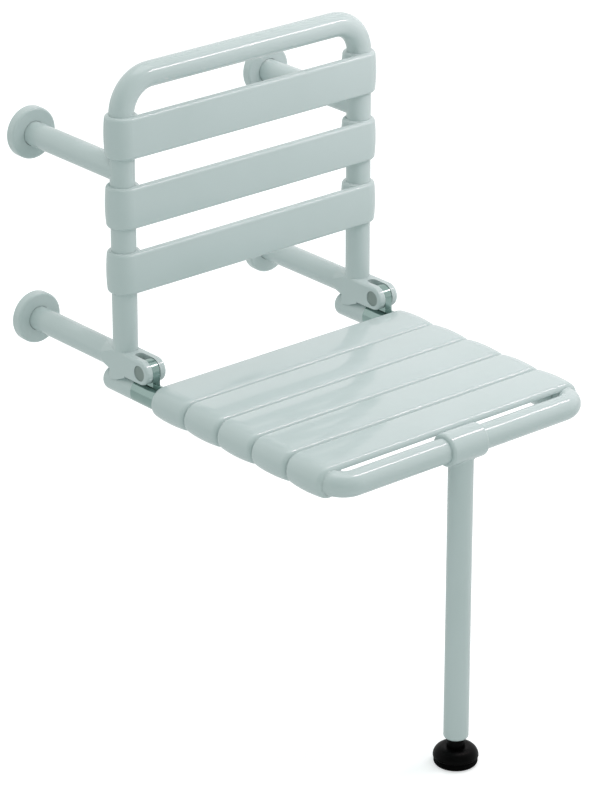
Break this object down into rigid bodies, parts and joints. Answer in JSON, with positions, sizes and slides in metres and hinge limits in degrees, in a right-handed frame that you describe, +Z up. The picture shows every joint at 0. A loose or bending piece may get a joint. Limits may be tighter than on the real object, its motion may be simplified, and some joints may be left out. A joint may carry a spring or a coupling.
{
  "type": "fold down wall seat",
  "caption": "Fold-down wall seat with a slatted seat and slatted backrest on bent tube frames, fork hinges and a swinging support leg with a levelling foot.",
  "frame": {"origin": "middle of the four wall plates, on the wall plane", "axes": "+X along the wall to the right, +Y into the wall, +Z up"},
  "size_m": [0.47, 0.6583, 0.885],
  "materials": {
    "grey_plastic": "glossy moulded nylon, pale grey with a green tint",
    "steel": "plain steel, hidden inside",
    "chrome": "mirror polished",
    "bearing_plastic": "dull bearing plastic",
    "cap_plastic": "satin grey-green cap",
    "rubber": "matt black rubber",
    "black_plastic": "satin black plastic"
  },
  "bodies": {
    "wall_frame": {"wall_anchor_upper_left": "steel", "wall_anchor_upper_right": "steel", "wall_anchor_lower_left": "steel", "wall_anchor_lower_right": "steel", "rosette_upper_left": "grey_plastic", "rosette_upper_right": "grey_plastic", "rosette_lower_left": "grey_plastic", "rosette_lower_right": "grey_plastic", "upper_arm_left": "grey_plastic", "upper_arm_right": "grey_plastic", "lower_arm_left": "grey_plastic", "lower_arm_right": "grey_plastic", "back_tube": "grey_plastic", "back_core": "steel", "back_slat_low": "grey_plastic", "back_slat_middle": "grey_plastic", "back_slat_top": "grey_plastic", "hinge_pin_left": "steel", "hinge_pin_right": "steel", "pin_cap_left_outer": "cap_plastic", "pin_cap_left_inner": "cap_plastic", "pin_cap_right_outer": "cap_plastic", "pin_cap_right_inner": "cap_plastic"},
    "seat": {"seat_tube": "grey_plastic", "seat_core": "steel", "hinge_block_left": "chrome", "hinge_block_right": "chrome", "hinge_bush_left": "bearing_plastic", "hinge_bush_right": "bearing_plastic", "hinge_washer_left_outer": "bearing_plastic", "hinge_washer_left_inner": "bearing_plastic", "hinge_washer_right_outer": "bearing_plastic", "hinge_washer_right_inner": "bearing_plastic", "stop_cap_left": "grey_plastic", "stop_cap_right": "grey_plastic", "seat_slat_1": "grey_plastic", "seat_slat_2": "grey_plastic", "seat_slat_3": "grey_plastic", "seat_slat_4": "grey_plastic", "seat_slat_5": "grey_plastic", "swing_stop_pin": "steel"},
    "leg": {"leg_tube": "grey_plastic", "leg_core": "steel", "leg_insert": "steel"},
    "pad": {"foot_pad": "rubber", "foot_pivot": "steel"},
    "screw": {"foot_dome": "black_plastic", "foot_stem": "steel"}
  },
  "joints": [
    {"name": "seat_fold", "type": "hinge", "parent": "wall_frame", "child": "seat", "pos_m": [0, -0.2485, -0.1305], "axis": [-1, 0, 0], "range_deg": [0, 95]},
    {"name": "leg_swing", "type": "hinge", "parent": "seat", "child": "leg", "pos_m": [0, -0.6283, -0.1638], "axis": [1, 0, 0], "range_deg": [0, 70]},
    {"name": "foot_height", "type": "slide", "parent": "leg", "child": "pad", "axis": [0, 0, -1], "range_m": [0, 0.02]},
    {"name": "foot_turn", "type": "hinge", "parent": "pad", "child": "screw", "pos_m": [0, -0.6283, -0.6], "axis": [0, 0, -1], "range_deg": [0, 3600]}
  ],
  "couplings": [
    {"joint": "foot_turn", "follows": "foot_height", "rad_per_m": 3141.6}
  ]
}
